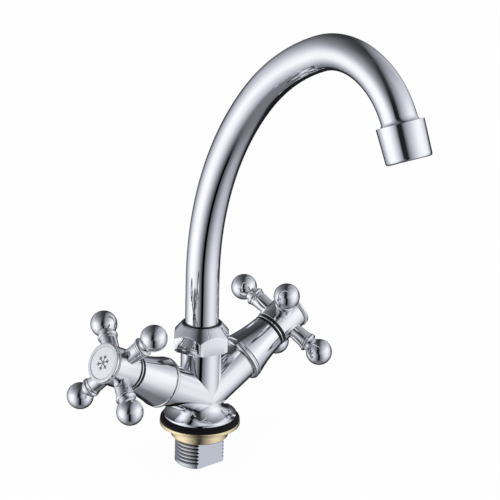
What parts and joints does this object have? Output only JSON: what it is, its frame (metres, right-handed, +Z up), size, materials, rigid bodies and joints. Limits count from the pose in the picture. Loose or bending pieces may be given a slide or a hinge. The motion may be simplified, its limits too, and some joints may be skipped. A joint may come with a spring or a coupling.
{
  "type": "two-handle kitchen faucet",
  "caption": "Deck-mounted kitchen faucet: a swivelling swan-neck spout with an aerator, cross handles on leaning arms and a threaded shank clamped by a nut and washer.",
  "frame": {"origin": "middle of the deck hole, level with the top of the deck, under the base gasket", "axes": "+Z up along the shank and the spout's swivel, -Y towards the outlet with the spout at rest, +X towards the right arm"},
  "size_m": [0.1676, 0.2102, 0.2876],
  "materials": {
    "chrome": "polished chrome plate",
    "cast_brass": "turned, unplated",
    "machined_brass": "machined",
    "black_rubber": "matt",
    "black_plastic": "gloss",
    "white_plastic": "moulded",
    "ceramic": "lapped",
    "steel": "plain",
    "satin_metal": "satin"
  },
  "bodies": {
    "body": {"body_casting": "chrome", "base_gasket": "black_rubber", "spout_nut": "chrome", "spout_wear_ring": "black_plastic", "left_seat_seal": "black_rubber", "left_fixed_disc": "ceramic", "left_cartridge_body": "machined_brass", "left_cartridge_o_ring": "black_rubber", "left_shroud": "chrome", "left_glide_bush": "black_plastic", "left_trim_ring": "chrome", "right_seat_seal": "black_rubber", "right_fixed_disc": "ceramic", "right_cartridge_body": "machined_brass", "right_cartridge_o_ring": "black_rubber", "right_shroud": "chrome", "right_glide_bush": "black_plastic", "right_trim_ring": "chrome"},
    "spout": {"spout_collar": "machined_brass", "spout_o_rings": "black_rubber", "spout_tube": "chrome", "outlet_adapter": "machined_brass", "aerator_housing": "chrome", "aerator_washer": "black_rubber", "aerator_insert": "white_plastic", "aerator_screen": "steel"},
    "left_handle": {"left_spindle": "machined_brass", "left_turning_disc": "ceramic", "left_spindle_o_rings": "black_rubber", "left_circlip": "steel", "left_handle_hub": "chrome", "left_handle_spokes": "chrome", "left_handle_screw": "steel", "left_index_ring": "chrome", "left_index_disc": "satin_metal"},
    "right_handle": {"right_spindle": "machined_brass", "right_turning_disc": "ceramic", "right_spindle_o_rings": "black_rubber", "right_circlip": "steel", "right_handle_hub": "chrome", "right_handle_spokes": "chrome", "right_handle_screw": "steel", "right_index_ring": "chrome", "right_index_disc": "satin_metal"},
    "washer": {"clamp_washer": "cast_brass"},
    "nut": {"lock_nut": "cast_brass"}
  },
  "joints": [
    {"name": "spout_swivel", "type": "hinge", "parent": "body", "child": "spout", "pos_m": [0, 0, 0.057], "axis": [0, 0, 1], "continuous": true},
    {"name": "left_handle_turn", "type": "hinge", "parent": "body", "child": "left_handle", "pos_m": [0, 0, 0.0152], "axis": [-0.8813, 0, 0.4726], "range_deg": [0, 90]},
    {"name": "right_handle_turn", "type": "hinge", "parent": "body", "child": "right_handle", "pos_m": [0, 0, 0.0152], "axis": [0.8813, 0, 0.4726], "range_deg": [0, 90]},
    {"name": "washer_slide", "type": "slide", "parent": "body", "child": "washer", "axis": [0, 0, -1], "range_m": [0, 0.014]},
    {"name": "nut_turn", "type": "hinge", "parent": "washer", "child": "nut", "pos_m": [0, 0, -0.0022], "axis": [0, 0, -1], "range_deg": [0, 2190]}
  ],
  "couplings": [
    {"joint": "nut_turn", "follows": "washer_slide", "rad_per_m": 2721.2}
  ]
}
